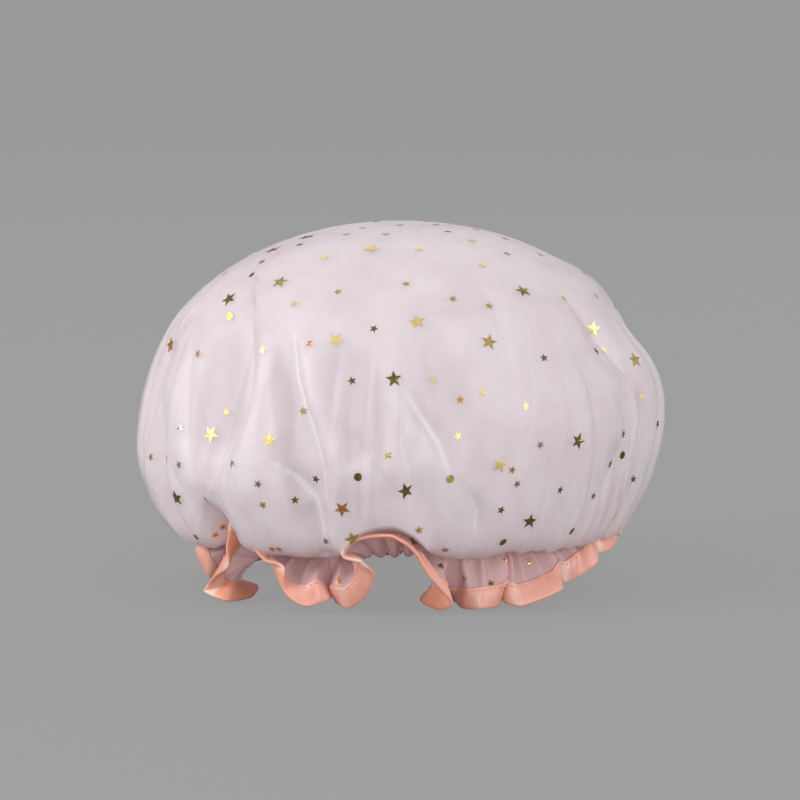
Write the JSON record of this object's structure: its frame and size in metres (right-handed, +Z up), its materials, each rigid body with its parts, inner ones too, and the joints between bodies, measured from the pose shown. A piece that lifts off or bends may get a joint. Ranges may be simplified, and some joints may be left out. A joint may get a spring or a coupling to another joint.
{
  "type": "shower cap",
  "caption": "Puffed double-layer shower cap: sheer organza over a waterproof film, gathered on an elastic band above a satin-bound frill.",
  "frame": {"origin": "on the floor, under the middle of the cap's bounding box", "axes": "+Z up through the crown, +X to the right of the front view, -Y towards the viewer of the front view"},
  "size_m": [0.2658, 0.2482, 0.185],
  "materials": {
    "organza": "sheer crisp polyester organza, pinkish white, with a soft sheen",
    "film": "thin milky EVA film, softly translucent",
    "satin_tape": "coral to salmon satin bias tape, glossy along its folds",
    "elastic": "knitted white elastic braid",
    "white_thread": "white polyester sewing thread",
    "pink_thread": "pink polyester sewing thread",
    "gold_foil": "hot-stamped gold foil, yellow to dark olive with the light"
  },
  "bodies": {
    "root": {"binding_stitch": "pink_thread", "casing_stitch_lower": "white_thread", "casing_stitch_upper": "white_thread", "elastic_band": "elastic", "elastic_join": "white_thread", "foil_dot_20": "gold_foil", "foil_dot_21": "gold_foil", "foil_dot_22": "gold_foil", "foil_dot_23": "gold_foil", "foil_dot_24": "gold_foil", "foil_dot_25": "gold_foil", "foil_dot_26": "gold_foil", "foil_dot_34": "gold_foil", "foil_dot_41": "gold_foil", "foil_large_01": "gold_foil", "foil_large_02": "gold_foil", "foil_large_03": "gold_foil", "foil_large_04": "gold_foil", "foil_large_05": "gold_foil", "foil_large_06": "gold_foil", "foil_large_07": "gold_foil", "foil_large_08": "gold_foil", "foil_large_09": "gold_foil", "foil_large_10": "gold_foil", "foil_large_11": "gold_foil", "foil_large_12": "gold_foil", "foil_large_13": "gold_foil", "foil_large_14": "gold_foil", "foil_large_15": "gold_foil", "foil_large_16": "gold_foil", "foil_large_17": "gold_foil", "foil_large_18": "gold_foil", "foil_large_19": "gold_foil", "foil_large_31": "gold_foil", "foil_large_33": "gold_foil", "foil_large_35": "gold_foil", "foil_large_37": "gold_foil", "foil_large_38": "gold_foil", "foil_large_40": "gold_foil", "foil_large_42": "gold_foil", "foil_large_44": "gold_foil", "foil_small_27": "gold_foil", "foil_small_28": "gold_foil", "foil_small_29": "gold_foil", "foil_small_30": "gold_foil", "foil_small_32": "gold_foil", "foil_small_36": "gold_foil", "foil_small_39": "gold_foil", "foil_small_43": "gold_foil", "hem_binding": "satin_tape", "outer_cover": "organza", "waterproof_lining": "film"}
  },
  "joints": []
}
